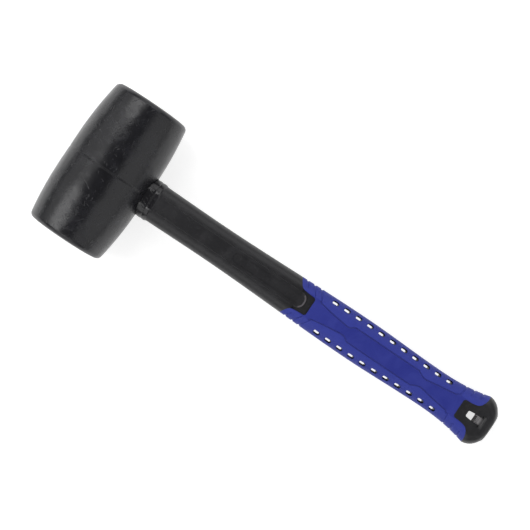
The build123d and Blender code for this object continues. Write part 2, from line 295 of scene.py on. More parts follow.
def roundedSection(name, x, width, thickness, corner, steps):  # a flat rounded rectangle square to X
    bpy.ops.mesh.primitive_plane_add(size=1, location=(x, 0, 0), rotation=(0, math.radians(90), 0))
    piece = bpy.context.object
    piece.name = name
    piece.scale = (thickness, width, 1)
    applyPlace(piece)
    openMesh(piece, "SELECT")
    roundCorners(corner, steps)
    return piece


def growSection(fromX, toX, widen, thicken):  # extrude the end face and reshape it, its round corners kept
    choose("FACE", lambda face: abs(face.calc_center_median().x - fromX) < near
           and abs(face.normal.x) > squareOn)
    extrude(toX - fromX, 0, 0)
    resize((1, 1, thicken), (toX, 0, 0))
    for side in (1, -1):
        choose("VERT", lambda vertex: abs(vertex.co.x - toX) < near and vertex.co.y * side > 0)
        bpy.ops.transform.translate(value=(0, side * widen / 2, 0))


def stationsAlong(startX, endX):
    fineX = min(buttX - handle["buttStepFromEnd"], endX)
    count = math.ceil((fineX - startX) / handle["stationStep"])
    stations = [startX + (fineX - startX) * number / count for number in range(count)]
    roundX = buttX - handle["edgeRound"]
    lastX = roundX if endX >= buttX else endX
    count = max(math.ceil((lastX - fineX) / handle["buttStep"]), 1)
    stations += [fineX + (lastX - fineX) * number / count for number in range(count)]
    if endX < buttX:
        return stations + [endX]
    steps = handle["edgeSteps"]
    angles = [math.radians(90 / steps * number) for number in range(steps + 1)]
    return stations + [roundX + handle["edgeRound"] * math.sin(angle) for angle in angles]


def handleBar(name, startX, endX, sideInset=0, broadInset=0):  # the handle's form, or one set inside it
    stations = stationsAlong(startX, endX)
    corner = handle["cornerRound"] - broadInset
    width = handleWidth(startX) - 2 * sideInset
    thickness = handleThickness(startX) - 2 * broadInset
    bar = roundedSection(name, startX, width, thickness, corner, handle["cornerSteps"])
    for fromX, toX in zip(stations, stations[1:]):
        newWidth = handleWidth(toX) - 2 * sideInset
        newThickness = handleThickness(toX) - 2 * broadInset
        growSection(fromX, toX, newWidth - width, newThickness / thickness)
        width = newWidth
        thickness = newThickness
    return finished(bar)


def curveTool(name, line):  # a drawn curve made a clean mesh
    tool = newObject(name, line)
    chooseOnly(tool)
    bpy.ops.object.convert(target="MESH")
    tidyMesh(tool)
    return tool


def drawnPrism(name, outline, height, smooth=()):  # a flat outline, drawn as a curve, given height both ways
    line = bpy.data.curves.new(name, "CURVE")
    line.dimensions = "2D"
    line.fill_mode = "BOTH"
    line.extrude = height
    line.resolution_u = curveSteps
    run = line.splines.new("BEZIER")
    run.bezier_points.add(len(outline) - 1)
    run.use_cyclic_u = True
    for number, place in enumerate(outline):
        point = run.bezier_points[number]
        point.co = (place[0], place[1], 0)
        kind = "AUTO" if number in smooth else "VECTOR"
        point.handle_left_type = kind
        point.handle_right_type = kind
    return curveTool(name, line)


def roundCord(name, places, radius):  # a round-sectioned tool that follows a run of places
    line = bpy.data.curves.new(name, "CURVE")
    line.dimensions = "3D"
    line.bevel_depth = radius
    line.bevel_resolution = cordSteps
    line.use_fill_caps = True
    run = line.splines.new("POLY")
    run.points.add(len(places) - 1)
    for number, place in enumerate(places):
        run.points[number].co = (*place, 1)
    return curveTool(name, line)


# The rubber head.
head = {
    "radius": headHigh.x,
    "halfLength": headHigh.y,
    "straightHalf": 12.0 * mm,      # the barrel's straight middle, to each side
    "rimInset": 3.7 * mm,           # how much narrower the rims are than the middle
    "faceFlat": 20.0 * mm,          # radius of each face's flat middle
    "faceDrop": 1.0 * mm,
    "faceRings": (0.7, 0.4, 0.2, 0),  # from the rim to the flat, as shares of the way out
    "flatRing": 0.5,                # size of the ring inside the flat, as a share of the flat's
    "rimRound": 2.6 * mm,
    "rimSteps": 7,
    "mouldLineHalf": 0.45 * mm,
    # Across the mould line: distance in half widths of the line, and depth.
    "mouldLine": ((0, 0.4 * mm), (0.4, 0.4 * mm), (1, 0.1 * mm), (1.6, 0)),
    "segments": 160,
    "barrelStep": 4.0 * mm,
    "seatClearance": 0.4 * mm,
    "seatToolLength": 30 * mm,
    "edgeRound": 0.35 * mm,
    "sharpAngle": 40,               # in degrees
}
spigot = {
    "width": 24.0 * mm,
    "thickness": 16.8 * mm,
    "cornerRound": 6.0 * mm,
    "taper": 1.4 * mm,              # narrower and thinner by this at its tip
    "glueGap": 0.4 * mm,
    "overlap": 0.2 * mm,            # how far its tool runs on into the collar
    "cornerSteps": 8,
    "rodSegments": 48,              # of the round room for the rod
}
collar = {
    "width": 29.6 * mm,
    "thickness": 22.0 * mm,
    "cornerRound": 10.6 * mm,
    "bandLength": 5.7 * mm,
    "grooveWidth": 1.1 * mm,
    "grooveDepth": 0.3 * mm,
    "grooveRounding": 0.3,          # the share of the groove's width that each of its sides takes
    "secondLength": 2.2 * mm,
    "slopeLength": 2.0 * mm,
    "slopeSink": 0.2 * mm,          # how far inside the shaft's sides the slope ends
    "lean": 0.35 * mm,              # how far the first band draws in towards the head
    "leanLength": 4.4 * mm,
    "secondLean": 0.15 * mm,
    "cornerSteps": 12,
}
collarEndX = (seatX + collar["bandLength"] + collar["grooveWidth"] + collar["secondLength"]
              + collar["slopeLength"])


def barrelRadius(y):
    run = head["halfLength"] - head["faceDrop"] - head["straightHalf"]
    bend = (run ** 2 + head["rimInset"] ** 2) / (2 * head["rimInset"])
    past = max(y - head["straightHalf"], 0)
    return head["radius"] - bend + math.sqrt(bend ** 2 - past ** 2)


def growRing(fromY, toY, fromRadius, toRadius):
    extrude(0, toY - fromY, 0)
    ratio = toRadius / fromRadius
    resize((ratio, 1, ratio), (0, toY, 0))


def headRings():  # place along the head's axis and radius of each ring, from the mould line to the face
    rings = [(share * head["mouldLineHalf"], head["radius"] - depth) for share, depth in head["mouldLine"]]
    rings.append((head["straightHalf"], head["radius"]))
    rimY = head["halfLength"] - head["faceDrop"]
    count = round((rimY - head["straightHalf"]) / head["barrelStep"])
    for number in range(1, count + 1):
        y = head["straightHalf"] + (rimY - head["straightHalf"]) * number / count
        rings.append((y, barrelRadius(y)))
    run = barrelRadius(rimY) - head["faceFlat"]
    bend = (run ** 2 + head["faceDrop"] ** 2) / (2 * head["faceDrop"])
    for part in head["faceRings"]:
        drop = bend - math.sqrt(bend ** 2 - (run * part) ** 2)
        rings.append((head["halfLength"] - drop, head["faceFlat"] + run * part))
    return rings


def taperedPlug(name, tipX, grow):  # the spigot, or with grow the socket round it
    rootX = seatX + spigot["overlap"]
    rootWidth = spigot["width"] + 2 * grow
    rootThickness = spigot["thickness"] + 2 * grow
    plug = roundedSection(name, rootX, rootWidth, rootThickness, spigot["cornerRound"] + grow,
                          spigot["cornerSteps"])
    extrude(tipX - rootX, 0, 0)
    narrower = (rootWidth - spigot["taper"]) / rootWidth
    thinner = (rootThickness - spigot["taper"]) / rootThickness
    resize((1, narrower, thinner), (tipX, 0, 0))
    return finished(plug)


def makeHead():
    rings = headRings()
    bpy.ops.mesh.primitive_circle_add(vertices=head["segments"], radius=rings[0][1], fill_type="NOTHING",
                                      location=(0, 0, 0), rotation=(math.radians(90), 0, 0))
    barrel = bpy.context.object
    barrel.name = "malletHead"
    applyPlace(barrel)
    openMesh(barrel, "SELECT")
    for ring, nextRing in zip(rings, rings[1:]):
        growRing(ring[0], nextRing[0], ring[1], nextRing[1])
    extrude(0, 0, 0)
    resize((head["flatRing"], 1, head["flatRing"]), (0, head["halfLength"], 0))
    bpy.ops.mesh.edge_face_add()
    rimY = head["halfLength"] - head["faceDrop"]
    rimRadius = barrelRadius(rimY)
    choose("EDGE", lambda edge: all(abs(corner.co.y - rimY) < near
                                    and abs(math.hypot(corner.co.x, corner.co.z) - rimRadius) < near
                                    for corner in edge.verts))
    bpy.ops.mesh.bevel(offset=head["rimRound"], segments=head["rimSteps"], affect="EDGES")
    closeMesh()
    otherHalf(barrel, False, True, False)
    room = head["seatClearance"]
    seat = roundedSection("seatTool", seatX, collar["width"] + 2 * room, collar["thickness"] + 2 * room,
                          collar["cornerRound"] + room, collar["cornerSteps"])
    extrude(head["seatToolLength"], 0, 0)
    combine(barrel, finished(seat))
    combine(barrel, taperedPlug("socketTool", gapLow.x, spigot["glueGap"]))
    tidyMesh(barrel)
    softenEdges(barrel, head["edgeRound"], head["sharpAngle"])
    return barrel


# The plastic jacket: spigot, collar, shaft, tabs and butt.
shaftLines = {
    "halfSpacing": 5.3 * mm,
    "radius": 0.45 * mm,            # of the round tool that cuts them
    "sink": 0.3 * mm,               # how deep they are
    "fromCollar": 0.6 * mm,
    "length": 62.0 * mm,
    "step": 8.0 * mm,               # between the places that the tool follows
}
panel = {
    "length": 57.5 * mm,
    "halfWidth": 3.45 * mm,
    "depth": 0.5 * mm,
    "endToTab": 6.9 * mm,
    "endSteps": 8,
    "lineFromMiddle": 5.7 * mm,     # the line outside the raised rails
    "lineFromStart": 1.0 * mm,
    "linePastEars": 2.0 * mm,
}
tab = {
    "length": 15.7 * mm,            # from the grip's ears to the end of the tab between them
    "halfWidth": 7.1 * mm,
    "rearHalfWidth": 7.3 * mm,
    "rearFromEnd": 27.0 * mm,
    "cornerCut": 1.2 * mm,
}
pocket = {
    "length": 11.0 * mm,
    "halfWidth": 11.0 * mm,
    "depth": 1.6 * mm,
    "runOn": 1.0 * mm,              # how far its tool runs on under the grip
    "rise": 1.0 * mm,               # and how far it stands above the surface
    "tongueToTab": 5.0 * mm,
    "tongueHalf": 5.8 * mm,
    "tongueRound": 5.2 * mm,
    "tongueSteps": 9,
    "slope": 1.0 * mm,              # length and depth of the slope round the top of the tongue's edge
    "slopeDepth": 0.6 * mm,
}
hangHole = {
    "width": 5.8 * mm,
    "innerWidth": 4.6 * mm,
    "innerCut": 0.8 * mm,           # its inner corners are cut off by this much
    "cutBend": 0.3,                 # where each cut bends, as a share of it
    "throat": 6.5 * mm,
    "slope": 7.5 * mm,
    "fromEnd": 20.0 * mm,
    "steps": 3,                     # in the floor that climbs from the throat to each broad side
    "treadLength": 1.68 * mm,
    "firstRise": 0.4 * mm,
    "rise": 2.9 * mm,               # from one tread to the next
    "treadRise": 1.2 * mm,          # along a tread
    "dishWidth": 9.2 * mm,
    "dishLength": 3.4 * mm,
    "dishDepth": 1.6 * mm,
    "throatToolHalf": 20 * mm,
    "backInThroat": 0.4 * mm,       # how far back in the throat the stairs' tool starts
    "fromMiddle": 0.02 * mm,        # the upper and the lower tool keep this far from the middle
    "riserLean": 0.05 * mm,
    "sideRoom": 0.04 * mm,          # by which the stairs' tool is wider than the throat
    "stairRise": 1.4,               # how high the tools stand, in half thicknesses of the handle
    "dishRise": 1.3,
}
tabX = earX + tab["length"]
panelEndX = tabX - panel["endToTab"]
hangX = buttX - hangHole["fromEnd"]


def makeCollar():  # two bands with a groove between them and a slope, grown one from the other
    rounding = collar["grooveRounding"] * collar["grooveWidth"]
    sink = collar["slopeSink"]
    endWidth = handle["neckWidth"] - 2 * sink
    endInset = (collar["thickness"] - handle["shaftThickness"]) / 2 + sink
    inset = collar["lean"]
    wide = collar["width"] - 2 * inset
    thick = collar["thickness"] - 2 * inset
    runs = [(collar["leanLength"], 0), (collar["bandLength"] - collar["leanLength"], 0),
            (rounding, collar["grooveDepth"]), (collar["grooveWidth"] - 2 * rounding, collar["grooveDepth"]),
            (rounding, collar["secondLean"]), (collar["secondLength"], 0)]
    corner = collar["cornerRound"] - inset
    ring = roundedSection("collarRing", seatX, wide, thick, corner, collar["cornerSteps"])
    x = seatX
    for length, newInset in runs:
        growSection(x, x + length, 2 * (inset - newInset), 1 + 2 * (inset - newInset) / thick)
        x += length
        thick += 2 * (inset - newInset)
        inset = newInset
    length = collar["slopeLength"]
    growSection(x, x + length, endWidth - collar["width"], 1 - 2 * endInset / thick)
    return finished(ring)


gripEnds = {
    # Along from the ears' tips or from the end of the rear tab, and out from the tab's side.
    "ears": ((2.4 * mm, 2.9 * mm), (4.3 * mm, 1.2 * mm), (8.0 * mm, 0.4 * mm)),
    "fork": ((8.0 * mm, 0.6 * mm), (11.4 * mm, 1.9 * mm), (13.8 * mm, 5.3 * mm)),
    "forkLength": 15.8 * mm,
    "margin": 3 * mm,               # how far the plan reaches past the widest place
    "planHalf": 40 * mm,            # its height, up and down
    "curved": {1, 2, 3, 8, 9, 10, 13, 14, 15, 20, 21, 22},  # numbers of the ears' and the fork's places
}


def gripPlan():  # the grip seen from above: ears round the front tab, and a fork round the rear one
    half = handle["buttWidth"] / 2 + gripEnds["margin"]
    wide = tab["halfWidth"]
    cut = tab["cornerCut"]
    tipHalf = handleWidth(earX) / 2
    earLength, earOut = gripEnds["ears"][0]
    lead = earLength / (tipHalf - wide - earOut) * (half - tipHalf)
    front = [(earX - lead, half)] + [(earX + along, wide + out) for along, out in gripEnds["ears"]]
    front += [(tabX - cut, wide), (tabX, wide - cut)]
    rearX = buttX - tab["rearFromEnd"]
    wide = tab["rearHalfWidth"]
    rear = [(rearX, wide - cut), (rearX + cut, wide)]
    rear += [(rearX + along, wide + out) for along, out in gripEnds["fork"]]
    rear.append((rearX + gripEnds["forkLength"], half))
    outline = front + [(x, -y) for x, y in reversed(front)] + [(x, -y) for x, y in reversed(rear)] + rear
    return drawnPrism("gripPlan", outline, gripEnds["planHalf"], gripEnds["curved"])


slots = {
    "count": 11,
    "length": 4.7 * mm,             # through the jacket, at its surface
    "width": 1.5 * mm,
    "gripLength": 5.2 * mm,         # through the grip, at its surface
    "gripWidth": 2.6 * mm,
    "narrowing": 0.9,               # size half way through, as a share of the size at the surface
    "endSteps": 7,
    "fromEdge": 3.6 * mm,
    "gripFromEdge": 3.25 * mm,
    "firstFromEars": 28.8 * mm,
    "lastFromEnd": 41.8 * mm,
}


def slotTools(length, width, fromEdge):
    first = earX + slots["firstFromEars"]
    pitch = (buttX - slots["lastFromEnd"] - first) / (slots["count"] - 1)
    narrowWidth = width * slots["narrowing"]
    slot = flatPlate("slotTool", 0, 0, length * slots["narrowing"], narrowWidth)
    openMesh(slot, "SELECT")
    roundCorners(endRound * narrowWidth / 2, slots["endSteps"])
    extrude(0, 0, handle["gripThickness"] / 2)
    widening = 1 / slots["narrowing"]
    resize((widening, widening, 1), (0, 0, 0))
    extrude(0, 0, toolRise)
    choose("FACE", lambda face: abs(face.calc_center_median().z) < near)
    bpy.ops.mesh.delete(type="ONLY_FACE")
    closeMesh()
    otherHalf(slot, False, False, True)
    tools = []
    for number in range(slots["count"]):
        x = first + number * pitch
        # Two widths, two millimetres apart, give the slope of the handle's side.
        slope = math.atan2(handleWidth(x + mm) - handleWidth(x - mm), 4 * mm)
        for side in (1, -1):
            tool = copyOf(slot, "slotTool")
            tool.location = (x, side * (handleWidth(x) / 2 - fromEdge), 0)
            tool.rotation_euler.z = side * slope
            applyPlace(tool)
            tools.append(tool)
    bpy.data.objects.remove(slot)
    return joined(tools, "slotTools")


def panelTool():  # a long round-ended tool whose underside follows the shaft's broad side
    startX = panelEndX - panel["length"]
    middleX = (startX + panelEndX) / 2
    tool = flatPlate("panelTool", middleX, 0, panel["length"], 2 * panel["halfWidth"])
    openMesh(tool, "SELECT")
    roundCorners(endRound * panel["halfWidth"], panel["endSteps"])
    choose("VERT", lambda vertex: vertex.co.x < middleX)
    bpy.ops.transform.translate(value=(0, 0, surfaceZ(startX, 0) - panel["depth"]))
    choose("VERT", lambda vertex: vertex.co.x > middleX)
    bpy.ops.transform.translate(value=(0, 0, surfaceZ(panelEndX, 0) - panel["depth"]))
    bpy.ops.mesh.select_all(action="SELECT")
    extrude(0, 0, toolRise)
    return finished(tool)


def lineTool(name, startX, endX, y):  # a round tool laid along the handle's broad side
    radius = shaftLines["radius"]
    count = round((endX - startX) / shaftLines["step"])
    places = []
    for number in range(count + 1):
        x = startX + (endX - startX) * number / count
        places.append((x, y, surfaceZ(x, y) + radius - shaftLines["sink"]))
    return roundCord(name, places, radius)


def shaftTools():
    startX = collarEndX + shaftLines["fromCollar"]
    railX = panelEndX - panel["length"] + panel["lineFromStart"]
    tools = []
    for side in (1, -1):
        y = side * shaftLines["halfSpacing"]
        tools.append(lineTool("shaftLine", startX, collarEndX + shaftLines["length"], y))
        y = side * panel["lineFromMiddle"]
        tools.append(lineTool("railLine", railX, earX + panel["linePastEars"], y))
    tools.append(panelTool())
    return onBothSides(joined(tools, "shaftTools"))


def pocketTool(depth, slope):  # the sunk ground round the tongue, or with slope the slope on its edge
    startX = tabX - pocket["length"]
    endX = tabX + pocket["runOn"]
    far = pocket["halfWidth"]
    half = pocket["tongueHalf"]
    roundOff = pocket["tongueRound"]
    steps = pocket["tongueSteps"]
    middleX = tabX - pocket["tongueToTab"] - roundOff
    tongue = [(startX, half)]
    for number in range(steps + 1):
        turn = math.pi / 2 * (1 - number / steps)
        tongue.append((middleX + roundOff * math.cos(turn), half - roundOff + roundOff * math.sin(turn)))
    outline = [(startX, far)] + tongue + [(x, -y) for x, y in reversed(tongue)]
    outline += [(startX, -far), (endX, -far), (endX, far)]
    topZ = (depth + pocket["rise"]) / 2
    tool = drawnPrism("pocketTool", outline, topZ)
    openMesh(tool)
    choose("VERT", lambda vertex: vertex.co.z > 0 and abs(vertex.co.y) < half + near
           and vertex.co.x < tabX - pocket["tongueToTab"] + near)
    narrower = 1 - slope * (1 + pocket["rise"] / depth) / half
    resize((narrower, narrower, 1), (middleX, 0, topZ))
    closeMesh()
    tool.location.z = surfaceZ(tabX, 0) - depth + topZ
    applyPlace(tool)
    tidyMesh(tool)
    return onBothSides(tool)


def sideTool(name, profile, width):  # a tool drawn in side view, X to the right and Z up
    tool = drawnPrism(name, profile, width / 2)
    tool.rotation_euler.x = math.radians(90)
    applyPlace(tool)
    return tool


def cutHangHole(jacket):  # the throat first, then stairs and a shallow dish on both broad sides
    half = hangHole["width"] / 2
    innerHalf = hangHole["innerWidth"] / 2
    throatX = hangX + hangHole["throat"]
    endX = throatX + hangHole["slope"]
    cut = hangHole["innerCut"]
    bend = hangHole["cutBend"] * cut
    upper = [(hangX, innerHalf - cut), (hangX + bend, innerHalf - bend), (hangX + cut, innerHalf),
             (throatX, half)]
    outline = upper + [(x, -y) for x, y in reversed(upper)]
    combine(jacket, drawnPrism("throatTool", outline, hangHole["throatToolHalf"]))
    height = handle["gripThickness"] / 2
    backX = throatX - hangHole["backInThroat"]
    stairs = [(backX, hangHole["fromMiddle"])]
    for number in range(hangHole["steps"]):
        x = throatX + number * hangHole["treadLength"]
        z = hangHole["firstRise"] + number * hangHole["rise"]
        stairs += [(x, z), (x + hangHole["treadLength"] - hangHole["riserLean"], z + hangHole["treadRise"])]
    stairs += [(endX, hangHole["stairRise"] * height), (backX, hangHole["stairRise"] * height)]
    dishX = endX - hangHole["dishLength"]
    dish = [(dishX, height - hangHole["dishDepth"]), (endX, height),
            (endX, hangHole["dishRise"] * height), (dishX, hangHole["dishRise"] * height)]
    for profile, width in ((stairs, hangHole["width"] + hangHole["sideRoom"]),
                           (dish, hangHole["dishWidth"])):
        tool = sideTool("stairTool", profile, width)
        under = mirrored(tool, "lowerTool")
        combine(jacket, tool)
        combine(jacket, under)


def makeJacket(bar, plan, inner):
    jacket = copyOf(bar, "handleJacket")
    ring = copyOf(plan, "gripRing")
    combine(ring, inner, keepTool=True)
    combine(jacket, ring)
    combine(jacket, makeCollar(), "UNION")
    combine(jacket, taperedPlug("spigotTool", jacketLow.x, 0), "UNION")
    combine(jacket, shaftTools())
    combine(jacket, pocketTool(pocket["depth"], 0))
    combine(jacket, pocketTool(pocket["slopeDepth"], pocket["slope"]))
    cutHangHole(jacket)
    bpy.ops.mesh.primitive_cylinder_add(vertices=spigot["rodSegments"], radius=rodHigh.y,
                                        depth=rodHigh.x - rodLow.x, rotation=(0, math.radians(90), 0),
                                        location=((rodHigh.x + rodLow.x) / 2, 0, 0))
    rodRoom = bpy.context.object
    applyPlace(rodRoom)
    combine(jacket, rodRoom)
    return jacket


def turnRodRoom(jacket):  # the closed room round the rod: its faces look inwards, away from the plastic
    openMesh(jacket)
    choose("FACE", lambda face: all(rodLow.x - near < corner.co.x < rodHigh.x + near
                                    and math.hypot(corner.co.y, corner.co.z) < rodHigh.y + near
                                    for corner in face.verts))
    bpy.ops.mesh.flip_normals()
    closeMesh()


# The soft grip.
gripLines = {
    "halfWidth": 5.9 * mm,
    "pinchHalfWidth": 3.2 * mm,
    "mouthHalfWidth": 6.7 * mm,
    "radius": 0.62 * mm,
    "sink": 0.45 * mm,
    "frontPinchFromEars": 46.0 * mm,
    "rearPinchFromEnd": 58.0 * mm,
    "endFromEnd": 33.5 * mm,
    "mouthFromTab": 4.5 * mm,
    "tipLength": 1.3 * mm,          # at each mouth the line turns outwards by this much
    # At the pinches: along from the pinch, and out from its half width.
    "frontPinch": ((-2.0 * mm, 0.1 * mm), (0, 0.3 * mm)),
    "rearPinch": ((-1.0 * mm, 0.3 * mm), (1.5 * mm, 0)),
    "frontShoulder": 3.6 * mm,      # from each pinch to where the outline is wide
    "rearShoulder": 6.0 * mm,
}
rings = {
    "radius": 1.1 * mm,
    "sink": 0.7 * mm,
    "frontLean": 35.0,              # degrees, inwards and towards the middle of the grip
    "rearLean": 14.0,
    "turnSteps": 6,                 # round each of the handle's rounded sides
    "leastFlat": 1.0 * mm,          # a ring starts on the flat only where it crosses more than this
    # From the grip's ears or from the butt's end, and the half width that is left between the rings.
    "front": ((4.4 * mm, 10.5 * mm), (10.3 * mm, 8.6 * mm), (15.9 * mm, 7.6 * mm)),
    "rear": ((29.1 * mm, 7.6 * mm), (23.1 * mm, 11.5 * mm), (16.4 * mm, 13.5 * mm)),
}


def outlinePlaces():  # the waisted outline's right side, from its front mouth to its rear one
    wide = gripLines["halfWidth"]
    pinch = gripLines["pinchHalfWidth"]
    mouth = gripLines["mouthHalfWidth"]
    frontX = earX + gripLines["frontPinchFromEars"]
    rearX = buttX - gripLines["rearPinchFromEnd"]
    endX = buttX - gripLines["endFromEnd"]
    tip = gripLines["tipLength"]
    mouthX = tabX + gripLines["mouthFromTab"]
    midway = (mouth + pinch) / 2
    places = [(mouthX - tip, mouth + tip), (mouthX, mouth), ((tabX + frontX) / 2, midway)]
    places += [(frontX + along, pinch + out) for along, out in gripLines["frontPinch"]]
    places += [(frontX + gripLines["frontShoulder"], wide), ((frontX + rearX) / 2, wide),
               (rearX - gripLines["rearShoulder"], wide)]
    places += [(rearX + along, pinch + out) for along, out in gripLines["rearPinch"]]
    return places + [((rearX + endX) / 2, midway), (endX, mouth), (endX + tip, mouth + tip)]


def outlineTools():
    radius = gripLines["radius"]
    tools = []
    for side in (1, -1):
        places = [(x, side * y, surfaceZ(x, y) + radius - gripLines["sink"]) for x, y in outlinePlaces()]
        tools.append(roundCord("outlineTool", places, radius))
    return onBothSides(joined(tools, "outlineTools"))


def ringPath(edgeX, inner, slope, side):  # from one broad side, round the narrow side, to the other
    roundOff = handle["cornerRound"]
    out = rings["radius"] - rings["sink"]
    half = handleWidth(edgeX) / 2
    flatHalf = half - roundOff
    height = handleThickness(edgeX) / 2
    section = [(inner, height + out)] if inner < flatHalf - rings["leastFlat"] else []
    first = math.asin(min(max((inner - flatHalf) / roundOff, 0), 1))
    for number in range(rings["turnSteps"] + 1):
        turn = first + (math.pi / 2 - first) * number / rings["turnSteps"]
        section.append((flatHalf + (roundOff + out) * math.sin(turn),
                        height - roundOff + (roundOff + out) * math.cos(turn)))
    section += [(y, -z) for y, z in reversed(section)]
    return [(edgeX + (half - y) * slope, side * y, z) for y, z in section]


def ringTools():
    frontSlope = math.tan(math.radians(rings["frontLean"]))
    rearSlope = -math.tan(math.radians(rings["rearLean"]))
    places = [(earX + distance, inner, frontSlope) for distance, inner in rings["front"]]
    places += [(buttX - distance, inner, rearSlope) for distance, inner in rings["rear"]]
    tools = []
    for edgeX, inner, slope in places:
        for side in (1, -1):
            tools.append(roundCord("ringTool", ringPath(edgeX, inner, slope, side), rings["radius"]))
    return joined(tools, "ringTools")


def makeGrip(bar, plan, inner):
    grip = copyOf(bar, "softGrip")
    combine(grip, plan, "INTERSECT", keepTool=True)
    combine(grip, inner, keepTool=True)
    combine(grip, outlineTools())
    combine(grip, ringTools())
    return grip


# Making the pieces, still straight, and laying them down.
malletHead = makeHead()
print("head made")
bar = handleBar("handleBar", seatX, buttX)
inner = handleBar("innerBar", earX - handle["innerFromEars"], buttX - handle["innerFromEnd"],
                  handle["sideCover"], handle["broadCover"])
plan = gripPlan()
softGrip = makeGrip(bar, plan, inner)
handleJacket = makeJacket(bar, plan, inner)
combine(softGrip, slotTools(slots["gripLength"], slots["gripWidth"], slots["gripFromEdge"]))
combine(handleJacket, slotTools(slots["length"], slots["width"], slots["fromEdge"]))
for tool in (bar, inner, plan):
    bpy.data.objects.remove(tool)
for piece in (softGrip, handleJacket):
    tidyMesh(piece)
turnRodRoom(handleJacket)
for piece in (softGrip, handleJacket):
    softenEdges(piece, handle["softRound"], handle["sharpAngle"])
print("handle made")

for piece in (malletHead, handleJacket, softGrip):
    piece.matrix_world = layDown
    applyPlace(piece)
    print(piece.name, len(piece.data.vertices), "vertices", len(piece.data.polygons), "faces")


# Shared effects, each a node group that gives out a mask or a normal.
def newGroup(name, inputs, outputs):  # inputs and outputs: pairs of a name and a kind of socket
    group = bpy.data.node_groups.new(name, "ShaderNodeTree")
    for label, kind in inputs:
        group.interface.new_socket(label, in_out="INPUT", socket_type="NodeSocket" + kind)
    for label, kind in outputs:
        group.interface.new_socket(label, in_out="OUTPUT", socket_type="NodeSocket" + kind)
    start = group.nodes.new("NodeGroupInput")
    end = group.nodes.new("NodeGroupOutput")
    return group, start, end


def feed(tree, place, value):  # link a socket to an input, or set the input to a plain value
    if isinstance(value, bpy.types.NodeSocket):
        tree.links.new(value, place)
    else:
        place.default_value = value


def addNode(tree, kind, settings=None, **values):  # a node with its settings, and its inputs set or linked
    node = tree.nodes.new(kind)
    for setting, value in (settings or {}).items():
        setattr(node, setting, value)
    for label, value in values.items():
        feed(tree, node.inputs[label], value)
    return node


def arithmetic(tree, operation, first, second=0.0, third=0.0, clamp=False):
    node = addNode(tree, "ShaderNodeMath", {"operation": operation, "use_clamp": clamp})
    for number, value in enumerate((first, second, third)):
        feed(tree, node.inputs[number], value)
    return node.outputs[0]


def product(tree, first, *others):
    for other in others:
        first = arithmetic(tree, "MULTIPLY", first, other)
    return first


def scaled(tree, value, factor, offset):  # value times factor, plus offset
    return arithmetic(tree, "MULTIPLY_ADD", value, factor, offset)


def blend(tree, share, none, full):  # from one plain value, at share 0, to another, at share 1
    return scaled(tree, share, full - none, none)


def between(tree, value, low, high, fromValue=0.0, toValue=1.0):  # a smooth step as the value rises
    limits = {"From Min": low, "From Max": high, "To Min": fromValue, "To Max": toValue}
    node = addNode(tree, "ShaderNodeMapRange", {"interpolation_type": "SMOOTHSTEP"}, Value=value, **limits)
    return node.outputs["Result"]


def mixColours(tree, share, first, second):
    node = addNode(tree, "ShaderNodeMix", {"data_type": "RGBA"})
    for number, value in ((0, share), (6, first), (7, second)):
        feed(tree, node.inputs[number], value)
    return node.outputs[2]


def noiseOfSize(tree, place, size, **settings):
    scale = arithmetic(tree, "DIVIDE", 1.0, size)
    return addNode(tree, "ShaderNodeTexNoise", Vector=place, Scale=scale, **settings).outputs["Fac"]


def bumpFrom(tree, height, depth, normal=None, invert=False):
    values = {"Height": height, "Distance": depth}
    if normal is not None:
        values["Normal"] = normal
    return addNode(tree, "ShaderNodeBump", {"invert": invert}, **values).outputs["Normal"]


def alongAndAside(tree, place):  # place along the handle, and distance from the mallet's middle
    parts = addNode(tree, "ShaderNodeSeparateXYZ", Vector=place)
    return parts.outputs["X"], arithmetic(tree, "ABSOLUTE", parts.outputs["Y"])


def makeGrain():  # the fine texture left by a mould
    group, start, end = newGroup("fineGrain", [("Place", "Vector"), ("Size", "Float"), ("Depth", "Float")],
                                 [("Normal", "Vector")])
    fine = noiseOfSize(group, start.outputs["Place"], start.outputs["Size"], Detail=3.0, Roughness=0.6)
    group.links.new(bumpFrom(group, fine, start.outputs["Depth"]), end.inputs["Normal"])
    return group


blotch = {
    "bareAbove": 0.72,              # of the noise, with no cover: only what is higher is blotched
    "fullCover": 0.4,               # how far full cover lowers that
    "sharpness": 4.0,
}


def makeBlotches():  # uneven patches, as rubbing, bloom or dust leaves them
    group, start, end = newGroup("blotches", [("Place", "Vector"), ("Size", "Float"), ("Cover", "Float")],
                                 [("Mask", "Float")])
    broad = noiseOfSize(group, start.outputs["Place"], start.outputs["Size"], Detail=5.0, Roughness=0.62,
                        Distortion=0.8)
    lowered = product(group, start.outputs["Cover"], blotch["fullCover"])
    edge = arithmetic(group, "SUBTRACT", blotch["bareAbove"], lowered)
    lifted = arithmetic(group, "SUBTRACT", broad, edge)
    mask = arithmetic(group, "MULTIPLY_ADD", lifted, blotch["sharpness"], 0.5, clamp=True)
    group.links.new(mask, end.inputs["Mask"])
    return group


scratching = {
    "layers": ((0.5, 0.0), (-0.9, 3.7), (1.3, 8.1)),  # the turn of each, and how far it is shifted
    "tilt": (0.2, 0.1),
    "thinness": 14.0,               # how many times longer than wide the scratches are
    "edge": (0.66, 0.74),           # of the noise, from no scratch to a full one
}


